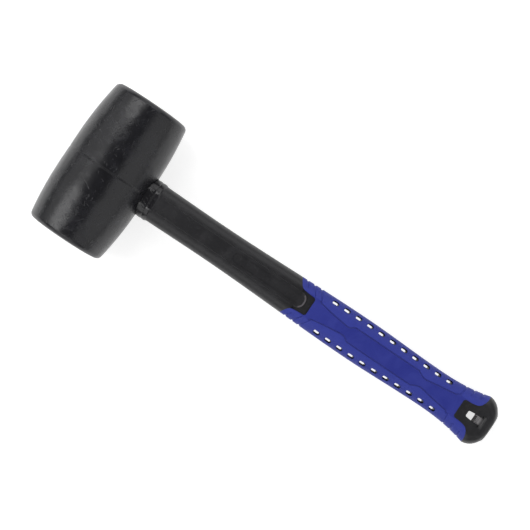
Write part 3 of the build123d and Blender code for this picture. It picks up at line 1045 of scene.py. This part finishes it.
def makeScratches():  # short thin scratches in three directions
    group, start, end = newGroup("scratches", [("Place", "Vector"), ("Length", "Float")],
                                 [("Mask", "Float")])
    thin = (1.0, scratching["thinness"], scratching["thinness"])
    mask = 0.0
    for turn, shift in scratching["layers"]:
        turned = addNode(group, "ShaderNodeMapping", Vector=start.outputs["Place"],
                         Rotation=(*scratching["tilt"], turn), Location=(shift, shift, 0))
        drawnOut = addNode(group, "ShaderNodeVectorMath", {"operation": "MULTIPLY"})
        feed(group, drawnOut.inputs[0], turned.outputs["Vector"])
        feed(group, drawnOut.inputs[1], thin)
        streak = noiseOfSize(group, drawnOut.outputs["Vector"], start.outputs["Length"], Detail=2.0)
        mask = arithmetic(group, "MAXIMUM", mask, between(group, streak, *scratching["edge"]))
    group.links.new(mask, end.inputs["Mask"])
    return group


grain = makeGrain()
blotches = makeBlotches()
scratches = makeScratches()


def useGroup(tree, group, **values):
    return addNode(tree, "ShaderNodeGroup", {"node_tree": group}, **values).outputs


def patchesOn(tree, place, size, cover):
    return useGroup(tree, blotches, Place=place, Size=size, Cover=cover)["Mask"]


def scratchesOn(tree, place, length):
    return useGroup(tree, scratches, Place=place, Length=length)["Mask"]


def grainOn(tree, place, size, depth):
    return useGroup(tree, grain, Place=place, Size=size, Depth=depth)["Normal"]


# Finishes.
def newFinish(name):  # a material, its shader, and where each point lies on the straight mallet
    finish = bpy.data.materials.new(name)
    finish.use_nodes = True
    tree = finish.node_tree
    coordinates = tree.nodes.new("ShaderNodeTexCoord")
    place = addNode(tree, "ShaderNodeMapping", {"vector_type": "TEXTURE"},
                    Vector=coordinates.outputs["Object"], Location=headCentre, Rotation=(0, lean, 0))
    return finish, tree, tree.nodes["Principled BSDF"], place.outputs["Vector"]


def dress(tree, shader, colour, rough, normal):  # link what changes over the surface
    tree.links.new(colour, shader.inputs["Base Color"])
    tree.links.new(rough, shader.inputs["Roughness"])
    tree.links.new(normal, shader.inputs["Normal"])


def wear(piece, finish):
    piece.data.materials.clear()
    piece.data.materials.append(finish)


rubber = {
    "colour": (0.0075, 0.0075, 0.0095, 1),
    "bloomColour": (0.015, 0.015, 0.019, 1),    # a grey bloom that handling leaves in patches
    "scuffColour": (0.04, 0.04, 0.045, 1),
    "roughness": 0.22,
    "bloomRoughness": 0.32,
    "scuffRoughness": 0.12,         # added near the faces
    "grainSize": 0.0007,
    "grainDepth": 0.00005,
    "bloomSize": 0.022,
    "bloomCover": 0.55,
    "mottleSize": 0.0044,
    "mottleCover": 0.5,
    # How much of the bloom and of the scuffs is mottled, and how much is even.
    "mottledBloom": (0.6, 0.4),
    "mottledScuffs": (0.5, 0.1),
    "scuffsFromFace": (4.0 * mm, 0.8 * mm),     # where they start, and where they are full
    "scratchLength": 0.02,
    "scratchShare": 0.35,
    "scratchDepth": 0.00006,
    "waveScale": 60.0,
    "waveDepth": 0.0007,
}


def makeRubber():
    finish, tree, shader, place = newFinish("blackRubber")
    bloom = patchesOn(tree, place, rubber["bloomSize"], rubber["bloomCover"])
    mottle = patchesOn(tree, place, rubber["mottleSize"], rubber["mottleCover"])
    scratch = scratchesOn(tree, place, rubber["scratchLength"])
    fromMiddle = alongAndAside(tree, place)[1]
    start, full = rubber["scuffsFromFace"]
    nearFace = between(tree, fromMiddle, head["halfLength"] - start, head["halfLength"] - full)
    scuffed = product(tree, nearFace, scaled(tree, mottle, *rubber["mottledScuffs"]))
    patchy = product(tree, bloom, scaled(tree, mottle, *rubber["mottledBloom"]))
    marks = product(tree, scratch, rubber["scratchShare"])
    colour = mixColours(tree, patchy, rubber["colour"], rubber["bloomColour"])
    colour = mixColours(tree, arithmetic(tree, "MAXIMUM", scuffed, marks), colour, rubber["scuffColour"])
    rough = blend(tree, patchy, rubber["roughness"], rubber["bloomRoughness"])
    rough = scaled(tree, nearFace, rubber["scuffRoughness"], rough)
    fine = grainOn(tree, place, rubber["grainSize"], rubber["grainDepth"])
    waves = addNode(tree, "ShaderNodeTexNoise", Vector=place, Scale=rubber["waveScale"], Detail=2.0)
    uneven = bumpFrom(tree, waves.outputs["Fac"], rubber["waveDepth"], fine)
    dress(tree, shader, colour, rough, bumpFrom(tree, scratch, rubber["scratchDepth"], uneven, invert=True))
    return finish


plastic = {
    "colour": (0.0098, 0.0095, 0.0116, 1),
    "wornColour": (0.022, 0.0215, 0.025, 1),
    "wearAndPaintedLightColour": (0.88, 0.85, 0.87, 1),      # painted light that makes the hang hole's stairs pale
    "tongueHighlightColour": (0.11, 0.10, 0.11, 1),        # painted highlight on the tongue's sloping edge
    "roughness": 0.38,
    "collarRoughness": 0.17,        # the collar is glossier than the shaft
    "collarGrain": 0.2,             # and its grain is this share of the shaft's
    "collarBlend": 2.0 * mm,
    "wornRoughness": 0.07,          # added on the worn patches
    "wornSize": 0.012,
    "wornCover": 0.45,
    "wornShare": 0.45,
    "scratchLength": 0.015,
    "scratchShare": 0.3,
    "scratchDepth": 0.00004,
    "grainSize": 0.0005,
    "grainDepth": 0.00006,
    # Over what length the painted light on the stairs fades: before the stairs, from them to past them, and
    # aside.
    "stairLightBefore": 0.3 * mm,
    "stairLightFrom": 0.8 * mm,
    "stairLightPast": 1.5 * mm,
    "stairLightAside": 0.4 * mm,
    # And the painted highlight on the edge: inside the slope, outside it, and along the tongue's round end.
    "highlightInside": 0.3 * mm,
    "highlightOutside": 0.2 * mm,
    "highlightAlong": (0.3, 0.6),
}


def stairsLightMask(tree, place):  # 1 on the hang hole's stairs, where light is painted on, fading out towards its dishes
    along, aside = alongAndAside(tree, place)
    startX = hangX + hangHole["throat"]
    endX = startX + hangHole["steps"] * hangHole["treadLength"]
    half = hangHole["width"] / 2
    beyond = between(tree, along, startX - plastic["stairLightBefore"], startX)
    before = between(tree, along, startX + plastic["stairLightFrom"], endX + plastic["stairLightPast"], 1.0, 0.0)
    amid = between(tree, aside, half - plastic["stairLightAside"], half, 1.0, 0.0)
    return product(tree, beyond, before, amid)


def tongueHighlightMask(tree, place):  # 1 on the slope round the tongue's end, where a highlight is painted
    along, aside = alongAndAside(tree, place)
    roundOff = pocket["tongueRound"]
    slopeStart = roundOff - pocket["slope"]
    past = arithmetic(tree, "SUBTRACT", along, tabX - pocket["tongueToTab"] - roundOff)
    beside = arithmetic(tree, "SUBTRACT", aside, pocket["tongueHalf"] - roundOff)
    reach = arithmetic(tree, "SQRT", scaled(tree, past, past, product(tree, beside, beside)))
    edge = between(tree, reach, slopeStart - plastic["highlightInside"], slopeStart)
    end = between(tree, past, *[share * roundOff for share in plastic["highlightAlong"]])
    inside = between(tree, reach, roundOff, roundOff + plastic["highlightOutside"], 1.0, 0.0)
    return product(tree, edge, end, inside)


def makePlastic():
    finish, tree, shader, place = newFinish("jacketPlastic")
    along = alongAndAside(tree, place)[0]
    shaft = between(tree, along, collarEndX - plastic["collarBlend"], collarEndX)
    patches = patchesOn(tree, place, plastic["wornSize"], plastic["wornCover"])
    scratch = scratchesOn(tree, place, plastic["scratchLength"])
    worn = product(tree, patches, plastic["wornShare"])
    marks = product(tree, scratch, plastic["scratchShare"])
    colour = mixColours(tree, arithmetic(tree, "MAXIMUM", worn, marks), plastic["colour"],
                        plastic["wornColour"])
    # painted light: the hang hole's stairs made pale
    colour = mixColours(tree, stairsLightMask(tree, place), colour, plastic["wearAndPaintedLightColour"])
    # painted highlight on the slope round the tongue's end
    colour = mixColours(tree, tongueHighlightMask(tree, place), colour, plastic["tongueHighlightColour"])
    rough = blend(tree, shaft, plastic["collarRoughness"], plastic["roughness"])
    rough = scaled(tree, patches, plastic["wornRoughness"], rough)
    depth = product(tree, blend(tree, shaft, plastic["collarGrain"], 1.0), plastic["grainDepth"])
    fine = grainOn(tree, place, plastic["grainSize"], depth)
    dress(tree, shader, colour, rough, bumpFrom(tree, scratch, plastic["scratchDepth"], fine, invert=True))
    return finish


blue = {
    "colour": (0.023, 0.037, 0.33, 1),
    "innerColour": (0.015, 0.025, 0.275, 1),    # darker and smoother inside the waisted outline
    "wearAndPaintedLightColour": (0.036, 0.052, 0.38, 1),
    "grooveShadeColour": (0.010, 0.015, 0.17, 1),      # painted shade in the outline's groove
    "grooveShadeShare": 0.7,
    "roughness": 0.55,
    "innerRoughness": 0.46,
    "rubbedRoughness": 0.08,        # added on the rubbed patches
    "rubbedSize": 0.014,
    "rubbedCover": 0.5,
    "rubbedShare": 0.35,
    "grainSize": 0.0006,
    "grainDepth": 0.00007,
    "innerGrain": 0.4,              # inside the outline, as a share of the grain outside
    # Over what distances from the outline the ground and the painted shade fade, and the painted shade at
    # its ends.
    "groundEdge": (-0.2 * mm, 0.3 * mm),
    "grooveShadeEdge": (0.2 * mm, 0.6 * mm),
    "grooveShadeEnd": 0.4 * mm,
}


def outlineMasks(tree, place):  # 1 inside the waisted outline on both broad sides, and 1 on its line, where shade is painted into the groove
    along, aside = alongAndAside(tree, place)
    places = outlinePlaces()
    startX = places[0][0]
    endX = places[-1][0]
    full = handle["buttWidth"] / 2
    limits = {"From Min": startX, "From Max": endX}
    share = addNode(tree, "ShaderNodeMapRange", Value=along, **limits)
    outline = addNode(tree, "ShaderNodeFloatCurve", Value=share.outputs["Result"])
    curve = outline.mapping.curves[0]
    curve.points[0].location = (0, places[0][1] / full)
    curve.points[1].location = (1, places[-1][1] / full)
    for x, y in places[1:-1]:
        curve.points.new((x - startX) / (endX - startX), y / full)
    for point in curve.points:
        point.handle_type = "VECTOR"
    outline.mapping.update()
    half = product(tree, outline.outputs["Value"], full)
    inward = arithmetic(tree, "SUBTRACT", half, aside)
    inside = between(tree, inward, *blue["groundEdge"])
    line = between(tree, arithmetic(tree, "ABSOLUTE", inward), *blue["grooveShadeEdge"], 1.0, 0.0)
    started = between(tree, along, startX, startX + blue["grooveShadeEnd"])
    unended = between(tree, along, endX - blue["grooveShadeEnd"], endX, 1.0, 0.0)
    return inside, product(tree, line, started, unended)


def makeBlue():
    finish, tree, shader, place = newFinish("softBlue")
    inside, line = outlineMasks(tree, place)
    patches = patchesOn(tree, place, blue["rubbedSize"], blue["rubbedCover"])
    colour = mixColours(tree, inside, blue["colour"], blue["innerColour"])
    colour = mixColours(tree, product(tree, patches, blue["rubbedShare"]), colour, blue["wearAndPaintedLightColour"])
    # painted shade darkening the outline's groove
    colour = mixColours(tree, product(tree, line, blue["grooveShadeShare"]), colour, blue["grooveShadeColour"])
    rough = blend(tree, inside, blue["roughness"], blue["innerRoughness"])
    rough = scaled(tree, patches, blue["rubbedRoughness"], rough)
    depth = product(tree, blend(tree, inside, 1.0, blue["innerGrain"]), blue["grainDepth"])
    dress(tree, shader, colour, rough, grainOn(tree, place, blue["grainSize"], depth))
    return finish


glassFibre = {
    "resinColour": (0.50, 0.42, 0.22, 1),
    "strandColour": (0.72, 0.66, 0.44, 1),
    "strandScale": 1500.0,
    "strandStretch": (0.05, 1.0, 1.0),          # the pattern is drawn out along the rod
    "strandEdge": (0.35, 0.65),
    "strandDepth": 0.0001,
    "roughness": 0.35,
    "strandRoughness": 0.2,         # added on the strands
}


def makeGlassFibre():  # straight glass strands in pale resin
    finish, tree, shader, place = newFinish("glassFibre")
    drawnOut = addNode(tree, "ShaderNodeMapping", Vector=place, Scale=glassFibre["strandStretch"])
    strands = addNode(tree, "ShaderNodeTexNoise", Vector=drawnOut.outputs["Vector"],
                      Scale=glassFibre["strandScale"], Detail=4.0).outputs["Fac"]
    streaks = between(tree, strands, *glassFibre["strandEdge"])
    colour = mixColours(tree, streaks, glassFibre["resinColour"], glassFibre["strandColour"])
    rough = scaled(tree, streaks, glassFibre["strandRoughness"], glassFibre["roughness"])
    dress(tree, shader, colour, rough, bumpFrom(tree, strands, glassFibre["strandDepth"]))
    return finish


adhesive = {
    "colour": (0.42, 0.29, 0.11, 1),
    "cloudyColour": (0.60, 0.47, 0.24, 1),
    "cloudSize": 0.006,
    "cloudCover": 0.5,
    "roughness": 0.22,
    "cloudyRoughness": 0.2,         # added in the cloudy places
    "bubbleScale": 700.0,
    "bubbleEdge": (0.1, 0.3),
    "bubbleDepth": 0.0002,
}


def makeAdhesive():  # amber resin with small bubbles
    finish, tree, shader, place = newFinish("amberAdhesive")
    bubbles = addNode(tree, "ShaderNodeTexVoronoi", Vector=place, Scale=adhesive["bubbleScale"])
    rims = between(tree, bubbles.outputs["Distance"], *adhesive["bubbleEdge"])
    cloudy = patchesOn(tree, place, adhesive["cloudSize"], adhesive["cloudCover"])
    colour = mixColours(tree, cloudy, adhesive["colour"], adhesive["cloudyColour"])
    rough = scaled(tree, cloudy, adhesive["cloudyRoughness"], adhesive["roughness"])
    dress(tree, shader, colour, rough, bumpFrom(tree, rims, adhesive["bubbleDepth"]))
    return finish


wear(malletHead, makeRubber())
wear(handleJacket, makePlastic())
wear(softGrip, makeBlue())
wear(frame["nodes"]["fibreglass_core"], makeGlassFibre())
wear(frame["nodes"]["socket_adhesive"], makeAdhesive())

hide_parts("rubber_head")
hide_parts("handle_jacket")
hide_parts("grip_sleeve")
for piece, slotName in ((malletHead, "black_rubber"), (handleJacket, "jacket_plastic"),
                        (softGrip, "grip_rubber")):
    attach(piece, "root")
print("finishes made")


# Floor, light and camera.
studio = {
    "floorSize": 40.0,
    "floorColour": (0.60, 0.60, 0.60, 1),
    "patchColour": (0.56, 0.56, 0.56, 1),
    "patchSize": 0.4,
    "patchCover": 0.5,
    "patchShare": 0.15,
    "floorRoughness": 0.9,
    "floorLift": 0.74,              # how far the floor is lifted towards white where it is seen
    "worldLevel": 0.10,
    "lampsFrom": (-0.144, 0.0, 0.03),  # the place that the lamps' directions are measured from
    "lampsAway": 1.5,
}
# Each lamp: direction from straight up towards +X and towards +Y, in degrees, then how wide
# it looks in each of those directions, and its brightness.
lamps = {
    "leftPanel": (-49.0, 0, 58.0, 54.0, 0.8),
    "rightPanel": (58.5, 0, 53.0, 54.0, 0.75),
    "nearPanel": (0, -55.5, 60.0, 39.0, 1.2),
    "farPanel": (0, 55.5, 60.0, 39.0, 1.2),
    "nearStrip": (-15.0, -22.0, 11.0, 14.0, 3.9),
    "farStrip": (-15.0, 22.0, 11.0, 14.0, 4.4),
    "leftLampNear": (-32.5, -17.0, 25.0, 20.0, 3.0),
    "leftLampFar": (-32.5, 21.0, 25.0, 12.0, 2.6),
}
view = {
    "alongHandle": 127.1 * mm,      # where the camera looks, from the head's centre
    "across": 6.75 * mm,
    "distance": 1140.7 * mm,
    "turn": 34.01,                  # degrees from the handle to the level of the picture
    "lens": 111.0,
}


def makeFloor():  # pale, and lifted towards white where the camera or a reflection sees it
    finish = bpy.data.materials.new("paleFloor")
    finish.use_nodes = True
    tree = finish.node_tree
    shader = tree.nodes["Principled BSDF"]
    coordinates = tree.nodes.new("ShaderNodeTexCoord")
    patches = patchesOn(tree, coordinates.outputs["Object"], studio["patchSize"], studio["patchCover"])
    colour = mixColours(tree, product(tree, patches, studio["patchShare"]), studio["floorColour"],
                        studio["patchColour"])
    tree.links.new(colour, shader.inputs["Base Color"])
    shader.inputs["Roughness"].default_value = studio["floorRoughness"]
    shader.inputs["Emission Color"].default_value = white
    path = tree.nodes.new("ShaderNodeLightPath")
    seen = arithmetic(tree, "MAXIMUM", path.outputs["Is Camera Ray"], path.outputs["Is Glossy Ray"])
    seen = arithmetic(tree, "MAXIMUM", seen, path.outputs["Is Transmission Ray"])
    tree.links.new(product(tree, seen, studio["floorLift"]), shader.inputs["Emission Strength"])
    bpy.ops.mesh.primitive_plane_add(size=studio["floorSize"], location=(0, 0, 0))
    floor = bpy.context.object
    floor.name = "floor"
    wear(floor, finish)


def makeLamp(name, towardsX, towardsY, wideX, wideY, level):  # an even panel that faces the head
    along = math.sin(math.radians(towardsX))
    across = math.sin(math.radians(towardsY))
    direction = Vector((along, across, math.sqrt(1 - along ** 2 - across ** 2)))
    away = studio["lampsAway"]
    lamp = bpy.data.lights.new(name, "AREA")
    lamp.shape = "RECTANGLE"
    lamp.size = 2 * away * math.tan(math.radians(wideX / 2))
    lamp.size_y = 2 * away * math.tan(math.radians(wideY / 2))
    lamp.energy = level * math.pi * lamp.size * lamp.size_y
    holder = newObject(name, lamp)
    sideways = Vector((0, 1, 0)).cross(direction).normalized()
    facing = Matrix((sideways, direction.cross(sideways), direction)).transposed().to_4x4()
    holder.matrix_world = Matrix.Translation(Vector(studio["lampsFrom"]) + away * direction) @ facing
    holder.visible_camera = False


def makeCamera():
    turn = math.radians(view["turn"])
    right = Vector((math.cos(turn), math.sin(turn), 0))
    up = Vector((-math.sin(turn), math.cos(turn), 0))
    back = Vector((0, 0, 1))
    facing = Matrix((right, up, back)).transposed().to_4x4()
    place = Matrix.Translation((view["alongHandle"], view["across"], view["distance"]))
    camera = bpy.data.cameras.new("camera")
    camera.lens = view["lens"]
    holder = newObject("camera", camera)
    holder.matrix_world = layDown @ place @ facing
    bpy.context.scene.camera = holder


makeFloor()
for name, settings in lamps.items():
    makeLamp(name, *settings)
world = bpy.data.worlds.new("world")
bpy.context.scene.world = world
world.use_nodes = True
glow = world.node_tree.nodes["Background"].inputs
glow["Color"].default_value = white
glow["Strength"].default_value = studio["worldLevel"]
bpy.context.scene.view_settings.view_transform = "Standard"
makeCamera()
print("stage made")
